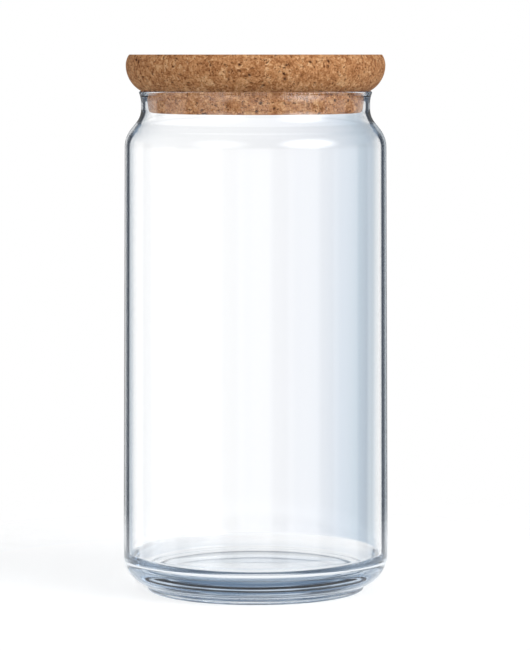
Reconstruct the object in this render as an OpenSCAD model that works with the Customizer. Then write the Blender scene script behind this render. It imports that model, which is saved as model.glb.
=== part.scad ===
// Clear glass storage jar with a lift-off cork lid.
// Millimetres, +Z up, origin on the table under the middle of the foot.

/* [Jar body] */
// Height of the glass jar, from the table to the lip
jar_h = 202; // [150:0.5:260]
// Outer diameter of the body just above the heel
body_base_d = 107.3; // [104:0.1:120]
// Outer diameter of the body just below the shoulder
body_top_d = 105.4; // [100:0.1:120]
// Thickness of the side wall just above the base
wall_base = 3.0; // [1.5:0.1:5]
// Thickness of the side wall at the shoulder
wall_top = 2.2; // [1.2:0.1:5]

/* [Base] */
// Radius of the rounded heel between the body and the foot
heel_r = 12.4; // [8:0.1:16]
// Height of the heel's lowest point above the table
heel_lift = 1.9; // [1:0.1:4]
// Height of the floor inside the jar above the table
floor_h = 10.7; // [7:0.1:16]
// Width of the rounded corner between the floor and the wall inside
floor_corner_w = 10.7; // [4:0.1:14]
// Height of that corner, which is an ellipse's quarter
floor_corner_h = 5.5; // [3:0.1:12]

/* [Foot] */
// Outer diameter of the standing ring
foot_d = 88.4; // [80:0.1:94]
// Width of the standing ring, from its outside to the recess
foot_w = 5.2; // [3:0.1:10]
// Radius on the standing ring's outer edge
foot_edge_r = 1.2; // [0.2:0.1:1.5]
// Radius on the standing ring's inner edge, where the recess starts
recess_edge_r = 0.6; // [0.2:0.1:0.8]
// Depth of the recess under the jar, at its middle
recess_h = 2.8; // [1.6:0.1:5]
// Depth of the recess next to the standing ring
recess_edge_h = 1.2; // [0.8:0.1:1.5]

/* [Shoulder and neck] */
// Slope of the shoulder's straight part, measured from the vertical, in degrees
shoulder_slope = 38.8; // [30:0.2:50]
// Outer radius of the bend where the body turns into the shoulder
shoulder_r = 11.8; // [6:0.1:13]
// Outer radius of the bend where the shoulder turns up into the neck
neck_bend_r = 8.7; // [4:0.1:12]
// Outer diameter of the neck at its waist
neck_d = 92.2; // [86:0.1:93]
// Thickness of the glass at the neck's waist
neck_wall = 1.7; // [1.2:0.1:3]
// Height from the neck's waist to the lip
neck_h = 7.2; // [6:0.1:14]

/* [Lip] */
// How far the lip flares out past the neck's waist
lip_flare = 0.8; // [0.3:0.05:2]
// Height of the flare
lip_flare_h = 4; // [2.5:0.1:4.8]
// Radius on the lip's two upper edges
lip_edge_r = 0.8; // [0.3:0.05:1]

/* [Lid head] */
// Thickness of the lid's head
head_h = 14.6; // [12:0.1:17.5]
// Height of the widest line of the head above the lip
belly_h = 10.3; // [7:0.1:11]
// How far the head stands out past the lip, all round
head_overhang = 5.3; // [2:0.1:7]
// Radius of the head's side above its widest line
upper_side_r = 7.5; // [5.5:0.1:12]
// Radius on the edge of the flat top
top_edge_r = 0.5; // [0.2:0.1:0.8]

/* [Plug] */
// Length of the plug that hangs in the neck
plug_h = 9.2; // [6:0.1:14]
// Radial clearance between the top of the plug and the neck
plug_gap = 0.35; // [0.3:0.05:0.8]
// How much the plug's radius shrinks from top to bottom
plug_taper = 1.05; // [0.3:0.05:3]
// Radius on the plug's lower edge
plug_edge_r = 0.7; // [0.3:0.1:1.5]

/* [Hidden] */

// Every round part is turned from its half outline, so these set only how smooth a view looks.
$fn = 128;
arc_steps = 16;

body_base_r = body_base_d / 2;
body_top_r = body_top_d / 2;
inner_base_r = body_base_r - wall_base;
inner_top_r = body_top_r - wall_top;
foot_r = foot_d / 2;
recess_r = foot_r - foot_w;
neck_r = neck_d / 2;
bore_r = neck_r - neck_wall;
lip_r = neck_r + lip_flare;
waist_z = jar_h - neck_h;

// The widest line of the head, the seat on the lip's flat land, and the plug in the bore.
head_r = lip_r + head_overhang;
seat_r = lip_r - lip_edge_r;
top_z = jar_h + head_h;
belly_z = jar_h + belly_h;
plug_top_r = bore_r - plug_gap;
plug_end_r = plug_top_r - plug_taper;

// A point of an arc, and the whole arc, in the plane of the half outline.
function on_arc(centre, r, angle) = centre + r * [cos(angle), sin(angle)];
function arc(centre, r, from, to) =
    [for (i = [0:arc_steps]) on_arc(centre, r, from + (to - from) * i / arc_steps)];

// Radius of the arc that leaves the vertical and moves in by "inset" over "height".
function bulge_r(inset, height) = (inset * inset + height * height) / (2 * inset);
// Angle that such an arc turns through.
function bulge_angle(inset, height) = asin(height / bulge_r(inset, height));

// The shoulder: from the body at low_r it bends in, runs straight and bends up to the neck at high_r.
// Its two bends share the step between body and neck, so they never need more than there is.
function bend_share(low_r, high_r, r1, r2) =
    min(1, (low_r - high_r) / ((r1 + r2) * (1 - cos(shoulder_slope))));
function shoulder_h(low_r, high_r, r1, r2) =
    let (share = bend_share(low_r, high_r, r1, r2),
         bends = share * (r1 + r2),
         straight = (low_r - high_r - bends * (1 - cos(shoulder_slope))) / sin(shoulder_slope))
    bends * sin(shoulder_slope) + straight * cos(shoulder_slope);
function shoulder(low_r, high_r, r1, r2, low_z) =
    let (share = bend_share(low_r, high_r, r1, r2),
         high_z = low_z + shoulder_h(low_r, high_r, r1, r2))
    concat(
        arc([low_r - share * r1, low_z], share * r1, 0, shoulder_slope),
        arc([high_r + share * r2, high_z], share * r2, 180 + shoulder_slope, 180));

shoulder_z = waist_z - shoulder_h(body_top_r, neck_r, shoulder_r, neck_bend_r);

// Half outline of the outside of the glass, from the axis up to the middle of the lip.
module outer_outline() {
    flare_r = bulge_r(lip_flare, lip_flare_h);
    flare_z = jar_h - lip_edge_r - lip_flare_h;
    polygon(concat(
        [[0, heel_lift]],
        arc([body_base_r - heel_r, heel_lift + heel_r], heel_r, -90, 0),
        shoulder(body_top_r, neck_r, shoulder_r, neck_bend_r, shoulder_z),
        arc([neck_r + flare_r, flare_z], flare_r, 180, 180 - bulge_angle(lip_flare, lip_flare_h)),
        arc([lip_r - lip_edge_r, jar_h - lip_edge_r], lip_edge_r, 0, 90),
        [[0, jar_h]]));
}

// Half outline of the standing ring, which carries the heel.
module foot_outline() {
    polygon(concat(
        [[0, 0]],
        arc([foot_r - foot_edge_r, foot_edge_r], foot_edge_r, -90, 0),
        [[foot_r, heel_lift + heel_r / 2], [0, heel_lift + heel_r / 2]]));
}

// The corner between the floor and the wall, from the floor up.
function floor_corner() =
    [for (i = [0:arc_steps]) let (angle = 90 - 90 * i / arc_steps)
        [inner_base_r - floor_corner_w * (1 - cos(angle)),
         floor_h + floor_corner_h * (1 - sin(angle))]];

// Half outline of the space inside the jar, up past the lip, whose inner edge is rounded.
module inner_outline() {
    polygon(concat(
        [[0, floor_h]],
        floor_corner(),
        shoulder(inner_top_r, bore_r, shoulder_r - wall_top, neck_bend_r + neck_wall, shoulder_z),
        arc([bore_r + lip_edge_r, jar_h - lip_edge_r], lip_edge_r, 180, 90),
        [[bore_r + lip_edge_r, jar_h + 1], [0, jar_h + 1]]));
}

// Half outline of the shallow dome under the jar.
module recess_outline() {
    dome_h = recess_h - recess_edge_h;
    dome_r = (recess_r * recess_r + dome_h * dome_h) / (2 * dome_h);
    dome_angle = asin(recess_r / dome_r);
    polygon(concat(
        [[0, -1], [recess_r + recess_edge_r, -1]],
        arc([recess_r + recess_edge_r, recess_edge_r], recess_edge_r, 270, 180),
        arc([0, recess_h - dome_r], dome_r, 90 - dome_angle, 90)));
}

module jar() {
    color([0.78, 0.86, 0.9, 0.45])
    rotate_extrude()
    difference() {
        union() {
            outer_outline();
            foot_outline();
        }
        inner_outline();
        recess_outline();
    }
}

module cork_lid() {
    lower_inset = head_r - seat_r;
    lower_r = bulge_r(lower_inset, belly_h);
    lower_angle = bulge_angle(lower_inset, belly_h);
    // The edge of the top is tangent to the side above the widest line and to the flat top.
    upper_angle = asin((head_h - belly_h - top_edge_r) / (upper_side_r - top_edge_r));
    upper_centre = [head_r - upper_side_r, belly_z];
    top_corner = on_arc(upper_centre, upper_side_r - top_edge_r, upper_angle);
    color([0.73, 0.56, 0.4])
    rotate_extrude()
    polygon(concat(
        [[0, jar_h - plug_h], [plug_end_r - plug_edge_r, jar_h - plug_h]],
        arc([plug_end_r - plug_edge_r, jar_h - plug_h + plug_edge_r], plug_edge_r, -90, 0),
        [[plug_top_r, jar_h]],
        arc([head_r - lower_r, belly_z], lower_r, -lower_angle, 0),
        arc(upper_centre, upper_side_r, 0, upper_angle),
        arc(top_corner, top_edge_r, upper_angle, 90),
        [[0, top_z]]));
}

jar();
cork_lid();
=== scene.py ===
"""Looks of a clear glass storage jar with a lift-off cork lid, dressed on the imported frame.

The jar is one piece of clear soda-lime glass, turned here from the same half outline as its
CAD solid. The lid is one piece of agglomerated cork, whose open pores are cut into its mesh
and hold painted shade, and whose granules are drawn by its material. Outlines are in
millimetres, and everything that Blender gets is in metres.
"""

import logging
import math
import sys
from dataclasses import dataclass, field
from enum import Enum

import bpy
import numpy as np
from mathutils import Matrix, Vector

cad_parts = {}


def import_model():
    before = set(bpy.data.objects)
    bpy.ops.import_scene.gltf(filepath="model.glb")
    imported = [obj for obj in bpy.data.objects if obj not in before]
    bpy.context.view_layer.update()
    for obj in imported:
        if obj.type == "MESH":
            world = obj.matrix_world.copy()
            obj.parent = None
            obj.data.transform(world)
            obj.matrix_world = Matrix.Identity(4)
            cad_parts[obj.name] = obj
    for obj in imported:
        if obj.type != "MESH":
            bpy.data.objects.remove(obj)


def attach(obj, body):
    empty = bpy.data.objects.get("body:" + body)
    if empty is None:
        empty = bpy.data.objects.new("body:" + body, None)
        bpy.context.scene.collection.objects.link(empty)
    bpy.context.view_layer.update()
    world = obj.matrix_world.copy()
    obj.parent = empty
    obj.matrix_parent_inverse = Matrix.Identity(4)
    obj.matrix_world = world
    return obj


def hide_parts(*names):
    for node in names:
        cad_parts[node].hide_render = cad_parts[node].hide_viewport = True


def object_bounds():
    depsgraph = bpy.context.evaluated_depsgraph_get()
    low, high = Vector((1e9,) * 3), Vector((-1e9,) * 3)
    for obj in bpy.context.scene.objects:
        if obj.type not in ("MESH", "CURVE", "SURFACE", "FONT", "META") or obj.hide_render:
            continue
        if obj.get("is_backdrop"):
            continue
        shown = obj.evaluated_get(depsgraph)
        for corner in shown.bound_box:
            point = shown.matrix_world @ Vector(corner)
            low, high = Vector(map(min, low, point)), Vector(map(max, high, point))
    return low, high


LOG = logging.getLogger("jar")
MM = 0.001

Outline = list[tuple[float, float]]
Links = dict[str | int, object]


class Ray(Enum):
    """The kinds of ray that the studio answers in their own way."""

    CAMERA = "Is Camera Ray"
    GLOSSY = "Is Glossy Ray"
    THROUGH_GLASS = "Is Transmission Ray"


def linear_colour(hex_colour: str) -> tuple[float, float, float, float]:
    """Turns an sRGB hex colour into Blender's linear colour.

    Args:
        hex_colour: Six hex digits after a hash sign.

    Returns:
        Linear red, green and blue, and an alpha of 1.
    """
    channels = [int(hex_colour[i : i + 2], 16) / 255 for i in (1, 3, 5)]
    linear = [c / 12.92 if c <= 0.04045 else ((c + 0.055) / 1.055) ** 2.4 for c in channels]
    return (*linear, 1.0)


def add_node(
    tree: bpy.types.NodeTree,
    kind: str,
    settings: dict[str, object] | None = None,
    links: Links | None = None,
    stops: tuple[tuple[float, str], ...] = (),
) -> bpy.types.Node:
    """Adds one shader node with its settings and links.

    Args:
        tree: The node tree that the node goes into.
        kind: Blender's type name of the node.
        settings: The node's own properties.
        links: What each input gets, by its name or number: a value or another node's output.
        stops: The colour stops of a ramp, as position and hex colour.

    Returns:
        The new node.
    """
    node = tree.nodes.new(kind)
    for name, value in (settings or {}).items():
        setattr(node, name, value)
    for name, value in (links or {}).items():
        if isinstance(value, bpy.types.NodeSocket):
            tree.links.new(value, node.inputs[name])
        else:
            node.inputs[name].default_value = value
    for index, (position, hex_colour) in enumerate(stops):
        elements = node.color_ramp.elements
        stop = elements[index] if index < 2 else elements.new(position)
        stop.position = position
        stop.color = linear_colour(hex_colour)
    return node


def arc(centre: tuple[float, float], radius: float, start: float, end: float, steps: int) -> Outline:
    """Points along an arc of a half outline.

    Args:
        centre: Radius and height of the arc's centre.
        radius: The arc's radius.
        start: Angle of the first point in degrees, 0 being straight out.
        end: Angle of the last point.
        steps: Number of equal steps.

    Returns:
        The arc's points, both ends among them.
    """
    angles = [math.radians(start + (end - start) * i / steps) for i in range(steps + 1)]
    return [(centre[0] + radius * math.cos(a), centre[1] + radius * math.sin(a)) for a in angles]


def ring_heights(outline: Outline, longest: float) -> np.ndarray:
    """Splits the long stretches of a half outline, and drops repeated points.

    Args:
        outline: Points as radius and height.
        longest: The longest stretch that may stay whole.

    Returns:
        One row of radius and height for each ring of the mesh.
    """
    rings = [outline[0]]
    for point in outline[1:]:
        last = rings[-1]
        length = math.dist(last, point)
        if length < 1e-4:
            continue
        pieces = max(1, math.ceil(length / longest))
        for i in range(1, pieces + 1):
            share = i / pieces
            rings.append((last[0] + (point[0] - last[0]) * share, last[1] + (point[1] - last[1]) * share))
    return np.array(rings)


def turned_piece(name: str, rings: np.ndarray, offsets: np.ndarray) -> bpy.types.Object:
    """Turns rings of points about the Z axis into one closed mesh.

    Args:
        name: The new object's name.
        rings: Radius and height of each ring in millimetres. The first and last lie on the axis.
        offsets: How far each point leaves its ring, outwards and up, in millimetres, with the
            shape (rings, segments, 2).

    Returns:
        The new object, smooth shaded, in the scene.
    """
    segments = offsets.shape[1]
    angles = np.arange(segments) * 2 * math.pi / segments
    radius = rings[1:-1, 0:1] + offsets[1:-1, :, 0]
    height = rings[1:-1, 1:2] + offsets[1:-1, :, 1]
    band = np.stack([radius * np.sin(angles), radius * np.cos(angles), height], axis=-1)
    first, last = (0.0, 0.0, rings[0, 1]), (0.0, 0.0, rings[-1, 1])
    points = np.vstack([band.reshape(-1, 3), first, last]) * MM
    bands = len(rings) - 3
    here = np.arange(segments)
    after = (here + 1) % segments
    quads = [
        np.stack([b * segments + here, (b + 1) * segments + here, (b + 1) * segments + after, b * segments + after], 1)
        for b in range(bands)
    ]
    start_pole = np.full(segments, len(points) - 2)
    end_pole = np.full(segments, len(points) - 1)
    start_fan = np.stack([start_pole, here, after], 1)
    end_fan = np.stack([end_pole, bands * segments + after, bands * segments + here], 1)
    faces = [row.tolist() for row in np.concatenate(quads)]
    faces += start_fan.tolist() + end_fan.tolist()
    mesh = bpy.data.meshes.new(name)
    mesh.from_pydata(points.tolist(), [], faces)
    mesh.shade_smooth()
    mesh.update()
    piece = bpy.data.objects.new(name, mesh)
    bpy.context.scene.collection.objects.link(piece)
    return piece


@dataclass(frozen=True)
class ClearSodaLimeGlass:
    """Clear soda-lime glass, pressed and blown, then fire-polished.

    The polish leaves it quite smooth, so it mirrors and bends light sharply. Traces of iron give
    thick places, such as the base, a faint blue-grey cast.
    """

    name: str = "clear_soda_lime_glass"
    ior: float = 1.52
    cast: str = "#93B0C6"
    cast_density: float = 12.0

    def material(self) -> bpy.types.Material:
        """Builds the material: a smooth glass surface around a faintly coloured body."""
        material = bpy.data.materials.new(self.name)
        material.use_nodes = True
        tree = material.node_tree
        tree.nodes.clear()
        surface = add_node(
            tree,
            "ShaderNodeBsdfPrincipled",
            links={
                "Base Color": linear_colour("#FFFFFF"),
                "Roughness": 0.0,
                "IOR": self.ior,
                "Transmission Weight": 1.0,
            },
        )
        body = add_node(
            tree,
            "ShaderNodeVolumeAbsorption",
            links={"Color": linear_colour(self.cast), "Density": self.cast_density},
        )
        add_node(
            tree,
            "ShaderNodeOutputMaterial",
            links={"Surface": surface.outputs["BSDF"], "Volume": body.outputs["Volume"]},
        )
        return material


@dataclass(frozen=True)
class AgglomeratedCork:
    """Agglomerated cork: granules of bark pressed with a binder, turned and sanded.

    Granules and crumbs of 1 to 3 mm differ in tone from straw to rust, and bits of bark show
    as dark flecks. Sanding opens pores, whose holes are darkened with painted shade, and the dry
    surface scatters light almost evenly.
    """

    name: str = "agglomerated_cork"
    granule_mm: float = 3.0
    crumb_mm: float = 1.0
    grain_mm: float = 0.65
    fleck_mm: float = 0.9
    granule_tones: tuple[tuple[float, str], ...] = (
        (0.26, "#7C4A28"),
        (0.38, "#A06A40"),
        (0.5, "#BD8557"),
        (0.62, "#CF9C6C"),
        (0.76, "#E6BE92"),
    )
    fleck: str = "#4A230C"
    # Painted shade: the dark colour given to the open pores for the shade in their holes.
    pore_shade: str = "#3A1B0A"
    binder: str = "#8A5530"

    def material(self) -> bpy.types.Material:
        """Builds the material from granules, crumbs, grain, dark bark flecks and open pores with painted shade."""
        material = bpy.data.materials.new(self.name)
        material.use_nodes = True
        tree = material.node_tree
        tree.nodes.clear()
        place = add_node(tree, "ShaderNodeTexCoord").outputs["Object"]
        bend = add_node(
            tree,
            "ShaderNodeTexNoise",
            links={"Vector": place, "Scale": 1 / (1.6 * MM), "Detail": 4.0, "Roughness": 0.65},
        )
        centred = add_node(
            tree,
            "ShaderNodeVectorMath",
            {"operation": "SUBTRACT"},
            {0: bend.outputs["Color"], 1: (0.5, 0.5, 0.5)},
        )
        ragged = add_node(
            tree,
            "ShaderNodeVectorMath",
            {"operation": "MULTIPLY_ADD"},
            {0: centred.outputs["Vector"], 1: (3.4 * MM,) * 3, 2: place},
        ).outputs["Vector"]
        coarse = add_node(
            tree,
            "ShaderNodeTexVoronoi",
            {"feature": "F1"},
            {"Vector": ragged, "Scale": 1 / (self.granule_mm * MM)},
        )
        small = add_node(
            tree,
            "ShaderNodeTexVoronoi",
            {"feature": "F1"},
            {"Vector": ragged, "Scale": 1 / (self.crumb_mm * MM)},
        )
        grain = add_node(
            tree,
            "ShaderNodeTexNoise",
            links={"Vector": place, "Scale": 1 / (self.grain_mm * MM), "Detail": 3.0, "Roughness": 0.7},
        )
        coarse_tone = add_node(tree, "ShaderNodeSeparateColor", links={0: coarse.outputs["Color"]})
        small_tone = add_node(tree, "ShaderNodeSeparateColor", links={0: small.outputs["Color"]})
        mixed_tone = add_node(
            tree,
            "ShaderNodeMix",
            links={0: 0.68, 2: coarse_tone.outputs[0], 3: small_tone.outputs[1]},
        )
        with_grain = add_node(
            tree,
            "ShaderNodeMix",
            links={0: 0.6, 2: mixed_tone.outputs[0], 3: grain.outputs["Fac"]},
        )
        tone = add_node(
            tree,
            "ShaderNodeValToRGB",
            links={0: with_grain.outputs[0]},
            stops=self.granule_tones,
        )
        seam = add_node(
            tree,
            "ShaderNodeTexVoronoi",
            {"feature": "DISTANCE_TO_EDGE"},
            {"Vector": ragged, "Scale": 1 / (self.granule_mm * MM)},
        )
        seam_share = add_node(
            tree,
            "ShaderNodeMapRange",
            links={"Value": seam.outputs["Distance"], 1: 0.0, 2: 0.1, 3: 0.3, 4: 0.0},
        )
        bound = add_node(
            tree,
            "ShaderNodeMix",
            {"data_type": "RGBA"},
            {0: seam_share.outputs[0], 6: tone.outputs["Color"], 7: linear_colour(self.binder)},
        )
        bark = add_node(
            tree,
            "ShaderNodeTexNoise",
            links={
                "Vector": ragged,
                "Scale": 1 / (self.fleck_mm * MM),
                "Detail": 1.0,
                "Roughness": 0.5,
            },
        )
        bark_share = add_node(
            tree,
            "ShaderNodeMapRange",
            links={"Value": bark.outputs["Fac"], 1: 0.62, 2: 0.69, 3: 0.0, 4: 0.9},
        )
        flecked = add_node(
            tree,
            "ShaderNodeMix",
            {"data_type": "RGBA"},
            {0: bark_share.outputs[0], 6: bound.outputs[2], 7: linear_colour(self.fleck)},
        )
        # Painted shade: the open pores are darkened by their depth, for the shade that falls in their holes.
        pores = add_node(tree, "ShaderNodeAttribute", {"attribute_name": "pore_shade"})
        with_pore_shade = add_node(
            tree,
            "ShaderNodeMix",
            {"data_type": "RGBA"},
            {0: pores.outputs["Fac"], 6: flecked.outputs[2], 7: linear_colour(self.pore_shade)},
        )
        relief = add_node(
            tree,
            "ShaderNodeMath",
            {"operation": "MULTIPLY_ADD"},
            {0: seam_share.outputs[0], 1: -0.8, 2: grain.outputs["Fac"]},
        )
        bump = add_node(
            tree,
            "ShaderNodeBump",
            links={"Strength": 0.5, "Distance": 0.15 * MM, "Height": relief.outputs[0]},
        )
        surface = add_node(
            tree,
            "ShaderNodeBsdfPrincipled",
            links={
                "Base Color": with_pore_shade.outputs[2],
                "Roughness": 0.85,
                "IOR": 1.35,
                "Normal": bump.outputs["Normal"],
            },
        )
        add_node(tree, "ShaderNodeOutputMaterial", links={"Surface": surface.outputs["BSDF"]})
        return material


@dataclass
class GlassJar:
    """The glass jar: its sizes in millimetres, its mesh and its finish."""

    height: float = 202.0
    body_base_r: float = 53.65
    body_top_r: float = 52.7
    wall_base: float = 3.0
    wall_top: float = 2.2
    heel_r: float = 12.4
    heel_lift: float = 1.9
    heel_blend_r: float = 0.9
    floor_h: float = 10.7
    floor_corner_w: float = 10.7
    floor_corner_h: float = 5.5
    floor_dish: float = 0.02
    foot_r: float = 44.2
    foot_w: float = 5.2
    foot_edge_r: float = 1.2
    recess_h: float = 2.8
    recess_edge_h: float = 1.2
    recess_edge_r: float = 0.6
    shoulder_slope: float = 38.8
    shoulder_r: float = 11.8
    neck_bend_r: float = 8.7
    neck_r: float = 46.1
    neck_wall: float = 1.7
    neck_h: float = 7.2
    lip_flare: float = 0.8
    lip_flare_h: float = 4.0
    lip_edge_r: float = 0.8
    segments: int = 360
    wave_mm: float = 0.15
    glass: ClearSodaLimeGlass = field(default_factory=ClearSodaLimeGlass)

    def __post_init__(self) -> None:
        """Works out the sizes that follow from the others."""
        self.bore_r = self.neck_r - self.neck_wall
        self.lip_r = self.neck_r + self.lip_flare
        self.waist_z = self.height - self.neck_h
        low, high, bends = self.body_top_r, self.neck_r, self.shoulder_r + self.neck_bend_r
        self.shoulder_z = self.waist_z - self.shoulder_height(low, high, bends)

    def shoulder_height(self, low_r: float, high_r: float, bends: float) -> float:
        """Height of the shoulder from the start of its lower bend to the end of its upper one.

        Args:
            low_r: Radius of the body.
            high_r: Radius of the neck.
            bends: Sum of the two bends' radii.

        Returns:
            The height.
        """
        slope = math.radians(self.shoulder_slope)
        straight = (low_r - high_r - bends * (1 - math.cos(slope))) / math.sin(slope)
        return bends * math.sin(slope) + straight * math.cos(slope)

    def shoulder(self, low_r: float, high_r: float, low_bend: float, high_bend: float) -> Outline:
        """Points of the shoulder, from the body up to the neck."""
        top = self.shoulder_z + self.shoulder_height(low_r, high_r, low_bend + high_bend)
        slope = self.shoulder_slope
        lower = arc((low_r - low_bend, self.shoulder_z), low_bend, 0, slope, 24)
        upper = arc((high_r + high_bend, top), high_bend, 180 + slope, 180, 20)
        return lower + upper

    def underside(self) -> Outline:
        """Points from the middle of the recess, round the standing ring, up to the heel."""
        recess_r = self.foot_r - self.foot_w
        dome_h = self.recess_h - self.recess_edge_h
        dome_r = (recess_r**2 + dome_h**2) / (2 * dome_h)
        dome_angle = math.degrees(math.asin(recess_r / dome_r))
        edge = self.foot_edge_r
        heel = (self.body_base_r - self.heel_r, self.heel_lift + self.heel_r)
        blend_x = self.foot_r + self.heel_blend_r
        reach = self.heel_r + self.heel_blend_r
        blend_z = heel[1] - math.sqrt(reach**2 - (blend_x - heel[0]) ** 2)
        blend_end = math.degrees(math.atan2(heel[1] - blend_z, heel[0] - blend_x))
        return (
            arc((0, self.recess_h - dome_r), dome_r, 90, 90 - dome_angle, 18)
            + arc((recess_r + self.recess_edge_r, self.recess_edge_r), self.recess_edge_r, 180, 270, 8)
            + arc((self.foot_r - edge, edge), edge, -90, 0, 8)
            + arc((blend_x, blend_z), self.heel_blend_r, 180, blend_end, 8)
            + arc(heel, self.heel_r, blend_end - 180, 0, 40)
        )

    def inside(self) -> Outline:
        """Points from the lip's inner edge down the neck and wall to the middle of the floor."""
        inner_base_r = self.body_base_r - self.wall_base
        inner_top_r = self.body_top_r - self.wall_top
        edge = self.lip_edge_r
        shoulder = self.shoulder(
            inner_top_r,
            self.bore_r,
            self.shoulder_r - self.wall_top,
            self.neck_bend_r + self.neck_wall,
        )
        flat_r = inner_base_r - self.floor_corner_w
        turns = [math.radians(90 * i / 40) for i in range(41)]
        corner = [
            (
                flat_r + self.floor_corner_w * math.cos(a),
                self.floor_h + self.floor_corner_h * (1 - math.sin(a)),
            )
            for a in turns
        ]
        dish_r = (flat_r**2 + self.floor_dish**2) / (2 * self.floor_dish)
        dish_angle = math.degrees(math.asin(flat_r / dish_r))
        dish_centre = (0, self.floor_h - self.floor_dish + dish_r)
        return (
            arc((self.bore_r + edge, self.height - edge), edge, 90, 180, 10)
            + shoulder[::-1]
            + corner
            + arc(dish_centre, dish_r, dish_angle - 90, -90, 30)
        )

    def lip(self) -> Outline:
        """Points of the flare above the waist and of the lip's outer edge."""
        flare_r = (self.lip_flare**2 + self.lip_flare_h**2) / (2 * self.lip_flare)
        flare_angle = math.degrees(math.asin(self.lip_flare_h / flare_r))
        edge = self.lip_edge_r
        flare_z = self.height - edge - self.lip_flare_h
        return arc((self.neck_r + flare_r, flare_z), flare_r, 180, 180 - flare_angle, 12) + arc(
            (self.lip_r - edge, self.height - edge), edge, 0, 90, 10
        )

    def build(self) -> bpy.types.Object:
        """Turns the whole outline, with the soft waves that the mould leaves round the floor.

        Returns:
            The jar.
        """
        outside = self.underside() + self.shoulder(
            self.body_top_r, self.neck_r, self.shoulder_r, self.neck_bend_r
        )
        outside += self.lip()
        rings = ring_heights(outside + self.inside(), longest=3.0)
        start = np.argmax(rings[:, 1])
        inner = np.arange(len(rings)) > start
        near_recess = np.exp(-(((rings[:, 0] - 34) / 8) ** 2)) * ~inner * (rings[:, 1] < 7)
        near_recess *= np.clip(rings[:, 1], 0, 1)
        angles = np.arange(self.segments) * 2 * math.pi / self.segments
        wave = 0.7 * np.cos(6 * angles) + 0.2 * np.cos(9 * angles + 1.1) + 0.1 * np.cos(4 * angles + 2)
        offsets = np.zeros((len(rings), self.segments, 2))
        offsets[:, :, 1] = self.wave_mm * near_recess[:, None] * wave[None, :]
        piece = turned_piece("glass_jar", rings, offsets)
        piece.data.materials.append(self.glass.material())
        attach(piece, "jar")
        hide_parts("jar")
        LOG.info("glass jar: %d points", len(piece.data.vertices))
        return piece


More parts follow.
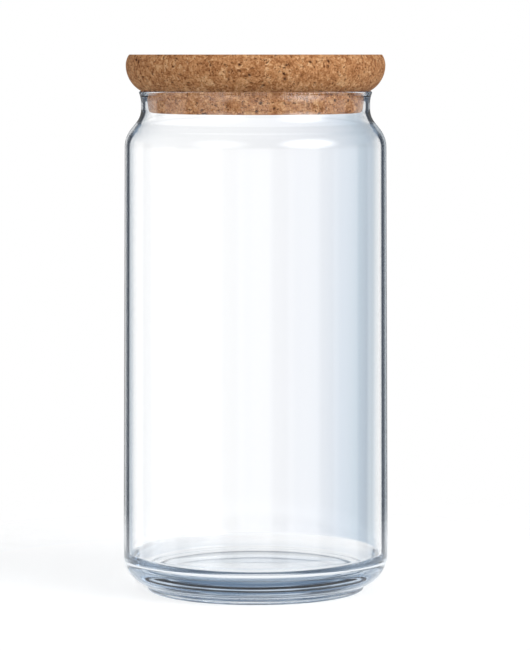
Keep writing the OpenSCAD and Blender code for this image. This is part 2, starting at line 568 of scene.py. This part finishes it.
@dataclass
class CorkLid:
    """The cork lid: head and plug turned as one piece, its sizes in millimetres."""

    jar: GlassJar
    head_h: float = 14.6
    belly_h: float = 10.3
    head_overhang: float = 5.3
    upper_side_r: float = 7.5
    top_edge_r: float = 0.5
    plug_h: float = 9.2
    plug_gap: float = 0.35
    plug_taper: float = 1.05
    plug_edge_r: float = 0.7
    segments: int = 600
    ring_step: float = 0.5
    pores: int = 900
    seed: int = 7
    cork: AgglomeratedCork = field(default_factory=AgglomeratedCork)

    def outline(self) -> Outline:
        """Points from the middle of the plug's end, round the head, to the middle of the top."""
        seat = self.jar.height
        head_r = self.jar.lip_r + self.head_overhang
        belly_z = seat + self.belly_h
        inset = head_r - (self.jar.lip_r - self.jar.lip_edge_r)
        lower_r = (inset**2 + self.belly_h**2) / (2 * inset)
        lower_angle = math.degrees(math.asin(self.belly_h / lower_r))
        rise = (self.head_h - self.belly_h - self.top_edge_r) / (self.upper_side_r - self.top_edge_r)
        upper_angle = math.degrees(math.asin(rise))
        upper_centre = (head_r - self.upper_side_r, belly_z)
        corner = arc(upper_centre, self.upper_side_r - self.top_edge_r, upper_angle, upper_angle, 1)[0]
        plug_r = self.jar.bore_r - self.plug_gap
        end_r = plug_r - self.plug_taper
        end_z = seat - self.plug_h
        edge = self.plug_edge_r
        return (
            [(0, end_z), (end_r - edge, end_z)]
            + arc((end_r - edge, end_z + edge), edge, -90, 0, 5)
            + [(plug_r, seat)]
            + arc((head_r - lower_r, belly_z), lower_r, -lower_angle, 0, 30)
            + arc(upper_centre, self.upper_side_r, 0, upper_angle, 12)
            + arc(corner, self.top_edge_r, upper_angle, 90, 3)
            + [(0, seat + self.head_h)]
        )

    def pore_depths(self, rings: np.ndarray, along: np.ndarray) -> np.ndarray:
        """Strews open pores over the surface.

        Args:
            rings: Radius and height of each ring.
            along: Distance of each ring along the outline.

        Returns:
            How open each point is, from 0 to 1, with the shape (rings, segments).
        """
        random = np.random.default_rng(self.seed)
        angles = np.arange(self.segments) * 2 * math.pi / self.segments
        depths = np.zeros((len(rings), self.segments))
        areas = rings[:, 0] * np.gradient(along)
        chosen = random.choice(len(rings), self.pores, p=areas / areas.sum())
        for ring in chosen:
            angle = random.uniform(0, 2 * math.pi)
            long_r = random.uniform(0.35, 0.95) * random.uniform(0.6, 1.0)
            short_r = long_r * random.uniform(0.35, 0.8)
            turn = random.uniform(0, math.pi)
            near = np.abs(along - along[ring]) < 1.5
            side = (angles - angle + math.pi) % (2 * math.pi) - math.pi
            across = side[None, :] * rings[near, 0:1]
            up = (along[near] - along[ring])[:, None] + 0 * across
            first = across * math.cos(turn) + up * math.sin(turn)
            second = up * math.cos(turn) - across * math.sin(turn)
            spread = (first / long_r) ** 2 + (second / short_r) ** 2
            hole = np.clip(1.4 - spread, 0, 1)
            depths[near] = np.maximum(depths[near], hole)
        return depths

    def build(self) -> bpy.types.Object:
        """Turns the outline and cuts the pores into it.

        Returns:
            The lid.
        """
        rings = ring_heights(self.outline(), self.ring_step)
        steps = np.hypot(*np.diff(rings, axis=0).T)
        along = np.concatenate([[0], np.cumsum(steps)])
        depths = self.pore_depths(rings, along)
        tangent = np.gradient(rings, axis=0)
        tangent /= np.linalg.norm(tangent, axis=1)[:, None]
        inwards = np.stack([-tangent[:, 1], tangent[:, 0]], axis=1)
        offsets = 0.35 * depths[:, :, None] * inwards[:, None, :]
        piece = turned_piece("cork_lid_piece", rings, offsets)
        # The pore depths are kept on the mesh, where the material paints shade into the pores.
        attribute = piece.data.attributes.new("pore_shade", "FLOAT", "POINT")
        attribute.data.foreach_set("value", np.append(depths[1:-1].ravel(), [0, 0]))
        piece.data.materials.append(self.cork.material())
        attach(piece, "lid")
        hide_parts("cork_lid")
        LOG.info("cork lid: %d points", len(piece.data.vertices))
        return piece


@dataclass(frozen=True)
class PanelTent:
    """The light tent: eight pale panels in a ring, with a dark gap between each two.

    Glass takes its dark edges from the gaps, whichever panel stands behind it. The colours run
    from the left end of a panel to its right end.
    """

    panels: int = 8
    tones: tuple[tuple[float, str], ...] = (
        (-22.5, "#FFFFFF"),
        (-11.6, "#FFFFFF"),
        (-4.5, "#F4F4F4"),
        (-1.0, "#EBEBEB"),
        (1.2, "#E2E3E6"),
        (2.4, "#DADDE2"),
        (4.1, "#C8D0D9"),
        (5.7, "#B6C3CE"),
        (8.0, "#ABB8C5"),
        (11.0, "#BBC5CC"),
        (13.0, "#D2DAE0"),
        (17.0, "#EEF1F3"),
        (22.5, "#FFFFFF"),
    )
    flags: tuple[tuple[float, str], ...] = (
        (-22.5, "#0F2336"),
        (-16.4, "#182E42"),
        (-11.6, "#FFFFFF"),
        (13.0, "#FFFFFF"),
        (17.6, "#182E42"),
        (22.5, "#0F2336"),
    )
    top: str = "#8195A9"
    top_from: float = 0.13
    top_to: float = 0.26
    low_fade: tuple[float, float] = (-0.036, -0.020)
    low_share: float = 0.91
    soft_light: float = 0.55
    mirror_light: float = 0.2
    inner_mirror_light: float = 0.7
    cork_light: float = 1.75
    panel_light: float = 1.37

    def build(self) -> bpy.types.World:
        """Makes the world that holds the tent."""
        world = bpy.data.worlds.new("panel_tent")
        world.use_nodes = True
        tree = world.node_tree
        tree.nodes.clear()
        way = add_node(tree, "ShaderNodeTexCoord").outputs["Generated"]
        parts = add_node(tree, "ShaderNodeSeparateXYZ", links={0: way})
        turn = add_node(
            tree, "ShaderNodeMath", {"operation": "ARCTAN2"}, {0: parts.outputs["X"], 1: parts.outputs["Y"]}
        )
        count = add_node(
            tree,
            "ShaderNodeMath",
            {"operation": "MULTIPLY_ADD"},
            {0: turn.outputs[0], 1: self.panels / (2 * math.pi), 2: self.panels + 0.5},
        )
        share = add_node(tree, "ShaderNodeMath", {"operation": "FRACT"}, {0: count.outputs[0]})
        width = 360 / self.panels
        tones, flags = (
            tuple((angle / width + 0.5, colour) for angle, colour in stops)
            for stops in (self.tones, self.flags)
        )
        tone = add_node(tree, "ShaderNodeValToRGB", links={0: share.outputs[0]}, stops=tones)
        flag = add_node(tree, "ShaderNodeValToRGB", links={0: share.outputs[0]}, stops=flags)
        rays = add_node(tree, "ShaderNodeLightPath")
        turned = add_node(
            tree,
            "ShaderNodeMath",
            {"operation": "MULTIPLY", "use_clamp": True},
            {0: rays.outputs["Glossy Depth"], 1: 1.0},
        )
        panel = add_node(
            tree,
            "ShaderNodeMix",
            {"data_type": "RGBA", "blend_type": "MULTIPLY"},
            {0: turned.outputs[0], 6: tone.outputs["Color"], 7: flag.outputs["Color"]},
        )
        rise = add_node(
            tree,
            "ShaderNodeMapRange",
            {"interpolation_type": "SMOOTHSTEP"},
            {"Value": parts.outputs["Z"], 1: self.top_from, 2: self.top_to},
        )
        walls = add_node(
            tree,
            "ShaderNodeMix",
            {"data_type": "RGBA"},
            {0: rise.outputs[0], 6: panel.outputs[2], 7: linear_colour(self.top)},
        )
        through = rays.outputs[Ray.THROUGH_GLASS.value]
        seen = add_node(
            tree,
            "ShaderNodeMix",
            links={0: rays.outputs[Ray.CAMERA.value], 2: self.soft_light, 3: 1.0},
        )
        outside = add_node(
            tree,
            "ShaderNodeMix",
            links={
                0: rays.outputs[Ray.GLOSSY.value],
                2: seen.outputs[0],
                3: self.mirror_light,
            },
        )
        lights_cork = add_node(
            tree,
            "ShaderNodeMath",
            {"operation": "MULTIPLY", "use_clamp": True},
            {0: through, 1: rays.outputs["Diffuse Depth"]},
        )
        even = add_node(
            tree,
            "ShaderNodeMix",
            links={0: lights_cork.outputs[0], 2: outside.outputs[0], 3: self.cork_light},
        )
        far_wall = add_node(
            tree,
            "ShaderNodeMath",
            {"operation": "GREATER_THAN"},
            {0: rays.outputs["Transmission Depth"], 1: 3.5},
        )
        downward = add_node(
            tree,
            "ShaderNodeMath",
            {"operation": "LESS_THAN"},
            {0: parts.outputs["Z"], 1: 0.0},
        )
        low_far_wall = add_node(
            tree,
            "ShaderNodeMath",
            {"operation": "MULTIPLY"},
            {0: far_wall.outputs[0], 1: downward.outputs[0]},
        )
        from_far_wall = add_node(
            tree,
            "ShaderNodeMath",
            {"operation": "MULTIPLY", "use_clamp": True},
            {0: low_far_wall.outputs[0], 1: rays.outputs["Glossy Depth"]},
        )
        plain = add_node(
            tree,
            "ShaderNodeMix",
            links={0: from_far_wall.outputs[0], 2: even.outputs[0], 3: self.inner_mirror_light},
        )
        not_even = add_node(
            tree,
            "ShaderNodeMath",
            {"operation": "SUBTRACT", "use_clamp": True},
            {0: through, 1: lights_cork.outputs[0]},
        )
        sees_panels = add_node(
            tree,
            "ShaderNodeMath",
            {"operation": "SUBTRACT", "use_clamp": True},
            {0: not_even.outputs[0], 1: from_far_wall.outputs[0]},
        )
        light = add_node(
            tree,
            "ShaderNodeMix",
            {"data_type": "RGBA"},
            {0: sees_panels.outputs[0], 6: plain.outputs[0], 7: walls.outputs[2]},
        )
        level = add_node(
            tree,
            "ShaderNodeMapRange",
            {"interpolation_type": "SMOOTHSTEP"},
            {
                "Value": parts.outputs["Z"],
                1: self.low_fade[0],
                2: self.low_fade[1],
                3: self.panel_light,
                4: self.panel_light * self.low_share,
            },
        )
        strength = add_node(
            tree, "ShaderNodeMix", links={0: sees_panels.outputs[0], 2: 1.0, 3: level.outputs[0]}
        )
        shine = add_node(
            tree,
            "ShaderNodeBackground",
            links={"Color": light.outputs[2], "Strength": strength.outputs[0]},
        )
        add_node(tree, "ShaderNodeOutputWorld", links={"Surface": shine.outputs[0]})
        return world


@dataclass(frozen=True)
class SoftBox:
    """A soft box lamp that faces the object."""

    name: str
    azimuth: float
    elevation: float
    width: float
    height: float
    radiance: float
    distance: float = 2.4
    peak: float = 4.0

    def build(self, target: Vector) -> bpy.types.Object:
        """Makes the lamp.

        Args:
            target: The point that it faces.

        Returns:
            The lamp.
        """
        lamp = bpy.data.lights.new(self.name, "AREA")
        lamp.shape = "RECTANGLE"
        lamp.size = self.width
        lamp.size_y = self.height
        lamp.energy = self.radiance * math.pi * self.width * self.height
        lamp.use_nodes = True
        tree = lamp.node_tree
        tree.nodes.clear()
        place = add_node(tree, "ShaderNodeNewGeometry").outputs["Parametric"]
        out = add_node(
            tree,
            "ShaderNodeVectorMath",
            {"operation": "DISTANCE"},
            {0: place, 1: (0.5, 0.5, 0)},
        )
        soft = add_node(
            tree,
            "ShaderNodeMapRange",
            {"interpolation_type": "SMOOTHSTEP"},
            {"Value": out.outputs["Value"], 1: 0.0, 2: 0.5, 3: self.peak, 4: 0.0},
        )
        glow = add_node(
            tree, "ShaderNodeEmission", links={"Color": (1, 1, 1, 1), "Strength": soft.outputs[0]}
        )
        add_node(tree, "ShaderNodeOutputLight", links={"Surface": glow.outputs[0]})
        turn, tilt = math.radians(self.azimuth), math.radians(self.elevation)
        flat = math.cos(tilt)
        way = Vector((math.sin(turn) * flat, -math.cos(turn) * flat, math.sin(tilt)))
        piece = bpy.data.objects.new(self.name, lamp)
        piece.location = target + way * self.distance
        piece.rotation_euler = way.to_track_quat("Z", "Y").to_euler()
        bpy.context.scene.collection.objects.link(piece)
        return piece


@dataclass(frozen=True)
class PaleFloor:
    """The round pale floor under the object. It keeps the shadow, looks white and fades out."""

    radius: float = 0.3
    fade_from: float = 0.1
    paint: str = "#CDCFD1"
    glow: float = 0.55
    through_glass: str = "#FFFFFF"
    through_light: float = 1.1
    near_from: float = 0.05
    near_to: float = 0.11

    def build(self) -> bpy.types.Object:
        """Makes the floor and marks it as stage."""
        rim = [
            (self.radius * math.cos(a), self.radius * math.sin(a), 0.0)
            for a in (2 * math.pi * i / 96 for i in range(96))
        ]
        mesh = bpy.data.meshes.new("floor")
        mesh.from_pydata(rim, [], [list(range(len(rim)))])
        material = bpy.data.materials.new("matt_floor_paint")
        material.use_nodes = True
        tree = material.node_tree
        tree.nodes.clear()
        paint = add_node(tree, "ShaderNodeBsdfDiffuse", links={"Color": linear_colour(self.paint)})
        rays = add_node(tree, "ShaderNodeLightPath")
        looked_at = add_node(
            tree,
            "ShaderNodeMath",
            {"operation": "MAXIMUM"},
            {0: rays.outputs[Ray.CAMERA.value], 1: rays.outputs[Ray.GLOSSY.value]},
        )
        strength = add_node(
            tree,
            "ShaderNodeMath",
            {"operation": "MULTIPLY"},
            {0: looked_at.outputs[0], 1: self.glow},
        )
        seen = add_node(
            tree,
            "ShaderNodeEmission",
            links={"Color": (1, 1, 1, 1), "Strength": strength.outputs[0]},
        )
        lit = add_node(tree, "ShaderNodeAddShader", links={0: paint.outputs[0], 1: seen.outputs[0]})
        bright = add_node(
            tree,
            "ShaderNodeEmission",
            links={"Color": linear_colour(self.through_glass), "Strength": self.through_light},
        )
        both = add_node(
            tree,
            "ShaderNodeMixShader",
            links={0: rays.outputs[Ray.THROUGH_GLASS.value], 1: lit.outputs[0], 2: bright.outputs[0]},
        )
        place = add_node(tree, "ShaderNodeTexCoord").outputs["Object"]
        out = add_node(tree, "ShaderNodeVectorMath", {"operation": "LENGTH"}, {0: place})
        gone = add_node(
            tree,
            "ShaderNodeMapRange",
            {"interpolation_type": "SMOOTHSTEP"},
            {"Value": out.outputs["Value"], 1: self.fade_from, 2: self.radius},
        )
        gone_through_glass = add_node(
            tree,
            "ShaderNodeMapRange",
            {"interpolation_type": "SMOOTHSTEP"},
            {"Value": out.outputs["Value"], 1: self.near_from, 2: self.near_to},
        )
        share = add_node(
            tree,
            "ShaderNodeMix",
            links={
                0: rays.outputs[Ray.THROUGH_GLASS.value],
                2: gone.outputs[0],
                3: gone_through_glass.outputs[0],
            },
        )
        clear = add_node(tree, "ShaderNodeBsdfTransparent")
        faded = add_node(
            tree,
            "ShaderNodeMixShader",
            links={0: share.outputs[0], 1: both.outputs[0], 2: clear.outputs[0]},
        )
        add_node(tree, "ShaderNodeOutputMaterial", links={"Surface": faded.outputs[0]})
        mesh.materials.append(material)
        floor = bpy.data.objects.new("floor", mesh)
        bpy.context.scene.collection.objects.link(floor)
        floor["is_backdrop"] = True
        return floor


@dataclass(frozen=True)
class ProductCamera:
    """The camera at the photograph's viewing angle.

    Its distance and height come from the ellipse of the foot and the lower edge of the plug.
    Pixels are those of the photograph, 530 wide and 650 high.
    """

    distance: float = 1.352
    eye_height: float = 0.2166
    mm_per_pixel: float = 0.4035
    horizon_pixel: float = 54.5
    axis_pixel: float = 255.6
    picture_width: int = 530
    picture_height: int = 650
    sensor: float = 36.0

    def build(self) -> bpy.types.Object:
        """Makes the camera and gives it to the scene."""
        focal = self.distance / (self.mm_per_pixel * MM)
        pitch = math.atan((self.picture_height / 2 - self.horizon_pixel) / focal)
        yaw = math.atan((self.picture_width / 2 - self.axis_pixel) / focal)
        lens = bpy.data.cameras.new("camera")
        lens.sensor_fit = "AUTO"
        lens.sensor_width = self.sensor
        lens.lens = focal / self.picture_height * self.sensor
        lens.clip_start = 0.05
        camera = bpy.data.objects.new("camera", lens)
        camera.location = (0, -self.distance, self.eye_height)
        camera.rotation_euler = (math.pi / 2 - pitch, 0, -yaw)
        bpy.context.scene.collection.objects.link(camera)
        bpy.context.scene.camera = camera
        return camera


def main() -> None:
    """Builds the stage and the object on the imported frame, and reports each piece."""
    logging.basicConfig(level=logging.INFO, format="%(name)s: %(message)s", stream=sys.stdout)
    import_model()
    low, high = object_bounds()
    scene = bpy.context.scene
    scene.view_settings.view_transform = "Standard"
    scene.cycles.max_bounces = 64
    scene.cycles.glossy_bounces = 60
    scene.cycles.transmission_bounces = 32
    ProductCamera().build()
    middle = (Vector(low) + Vector(high)) / 2
    scene.world = PanelTent().build()
    for box in (
        SoftBox("left_soft_box", -33, 24, 3.0, 2.0, 0.6),
        SoftBox("right_soft_box", 51, 24, 3.0, 2.0, 1.85),
    ):
        box.build(middle)
    PaleFloor().build()
    jar = GlassJar()
    jar.build()
    CorkLid(jar).build()
    low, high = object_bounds()


if __name__ == "__main__":
    main()
